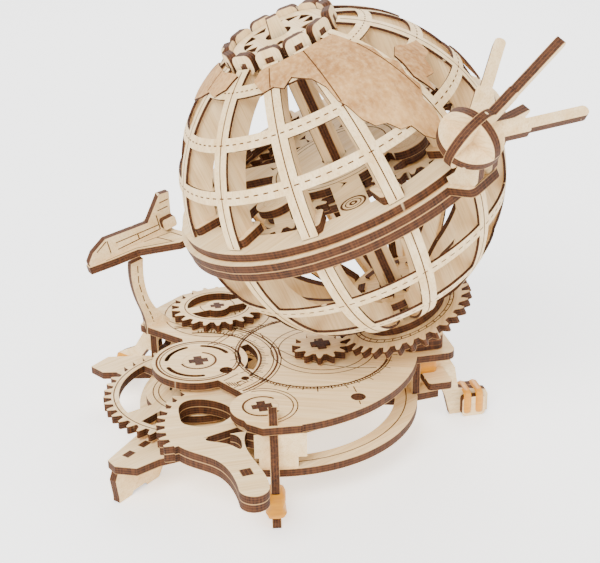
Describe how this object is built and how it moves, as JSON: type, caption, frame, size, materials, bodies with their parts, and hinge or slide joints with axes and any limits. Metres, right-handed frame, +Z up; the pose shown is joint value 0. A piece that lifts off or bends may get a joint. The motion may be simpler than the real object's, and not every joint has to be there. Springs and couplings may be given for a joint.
{
  "type": "orrery",
  "caption": "Plywood mechanical orrery: a tilted lattice globe with an orbiting satellite above a geared deck on legs, turned by a hand wheel and a lever.",
  "frame": {"origin": "on the table plane, under the middle of the bounding box", "axes": "+Z up out of the table; the globe axis leans to -X in the XZ plane; the front leg and the lever are on the -Y side; the dial lobe is at -X"},
  "size_m": [0.152, 0.1452, 0.1589],
  "materials": {
    "wood": "laser-cut birch plywood, dark burnt edges",
    "land": "plywood toned brown by engraving",
    "band": "amber elastic band"
  },
  "bodies": {
    "stand": {"base_plate": "wood", "deck": "wood", "front_leg": "wood", "left_leg": "wood", "right_leg": "wood", "rear_leg": "wood", "front_spacer": "wood", "deck_spacers": "wood", "right_leg_locks": "wood", "rubber_bands": "band", "column_foot": "wood", "column_strip_long": "wood", "column_strip_short": "wood", "column_collars": "wood", "sun_gear": "wood", "shuttle_arm": "wood", "shuttle_fuselage": "wood", "shuttle_wings": "wood", "shuttle_engines": "wood"},
    "globe": {"equator_upper_plate": "wood", "equator_lower_plate": "wood", "ribs_north": "wood", "ribs_south": "wood", "rib_feet": "wood", "skin_north": "wood", "skin_south": "wood", "landmass": "land", "pole_ring": "wood", "pole_star": "wood", "pole_caps": "wood", "hub_discs": "wood", "hub_pins": "wood", "tilted_gear": "wood"},
    "dial_shaft": {"shaft_low_pinion": "wood", "shaft_top_pinion": "wood", "shaft_axle": "wood"},
    "drive": {"drive_gear": "wood"},
    "hand_wheel": {"hand_wheel": "wood", "hand_pinion": "wood", "hand_axle": "wood"},
    "lever": {"lever_lower": "wood", "lever_upper": "wood", "lever_axle": "wood", "lever_dowel": "wood"},
    "ratchet": {"lever_pinion": "wood", "ratchet_wheel": "wood", "drive_axle": "wood"},
    "satellite": {"orbit_ring": "wood", "satellite_disc_a": "wood", "satellite_disc_b": "wood", "satellite_disc_c": "wood", "satellite_bracket": "wood"},
    "planet_a": {"planet_a_gear": "wood", "planet_a_axle": "wood"},
    "planet_b": {"planet_b_gear": "wood", "planet_b_axle": "wood"},
    "planet_c": {"planet_c_gear": "wood", "planet_c_axle": "wood"}
  },
  "joints": [
    {"name": "globe_spin", "type": "hinge", "parent": "stand", "child": "globe", "pos_m": [0.01338, 0.00422, 0.0996], "axis": [-0.3907, 0, 0.9205], "continuous": true},
    {"name": "dial_shaft_spin", "type": "hinge", "parent": "stand", "child": "dial_shaft", "pos_m": [0.00518, 0.00422, 0.02], "axis": [0, 0, 1], "continuous": true},
    {"name": "drive_spin", "type": "hinge", "parent": "stand", "child": "drive", "pos_m": [-0.03864, 0.01038, 0.018], "axis": [0, 0, 1], "continuous": true},
    {"name": "hand_wheel_spin", "type": "hinge", "parent": "stand", "child": "hand_wheel", "pos_m": [-0.0257, 0.04797, 0.02], "axis": [0, 0, 1], "continuous": true},
    {"name": "satellite_orbit", "type": "hinge", "parent": "globe", "child": "satellite", "pos_m": [0.01338, 0.00422, 0.0996], "axis": [-0.3907, 0, 0.9205], "continuous": true},
    {"name": "lever_swing", "type": "hinge", "parent": "stand", "child": "lever", "pos_m": [-0.02252, -0.02759, 0.023], "axis": [0, 0, 1], "range_deg": [-44, 0]},
    {"name": "ratchet_turn", "type": "hinge", "parent": "stand", "child": "ratchet", "pos_m": [-0.03864, 0.01038, 0.02], "axis": [0, 0, 1], "range_deg": [0, 224.9]},
    {"name": "planet_a_spin", "type": "hinge", "parent": "globe", "child": "planet_a", "pos_m": [-0.01011, -0.00676, 0.0918], "axis": [-0.3907, 0, 0.9205], "continuous": true},
    {"name": "planet_b_spin", "type": "hinge", "parent": "globe", "child": "planet_b", "pos_m": [0.0327, -0.01165, 0.10998], "axis": [-0.3907, 0, 0.9205], "continuous": true},
    {"name": "planet_c_spin", "type": "hinge", "parent": "globe", "child": "planet_c", "pos_m": [0.0152, 0.03107, 0.10254], "axis": [-0.3907, 0, 0.9205], "continuous": true}
  ],
  "couplings": [
    {"joint": "dial_shaft_spin", "follows": "globe_spin", "ratio": -2.6667},
    {"joint": "drive_spin", "follows": "globe_spin", "ratio": 0.82963},
    {"joint": "hand_wheel_spin", "follows": "globe_spin", "ratio": -4.6667},
    {"joint": "satellite_orbit", "follows": "globe_spin", "ratio": 0.2},
    {"joint": "ratchet_turn", "follows": "lever_swing", "ratio": -5.1111},
    {"joint": "planet_a_spin", "follows": "globe_spin", "ratio": 0.5},
    {"joint": "planet_b_spin", "follows": "globe_spin", "ratio": 0.5},
    {"joint": "planet_c_spin", "follows": "globe_spin", "ratio": 0.5}
  ]
}
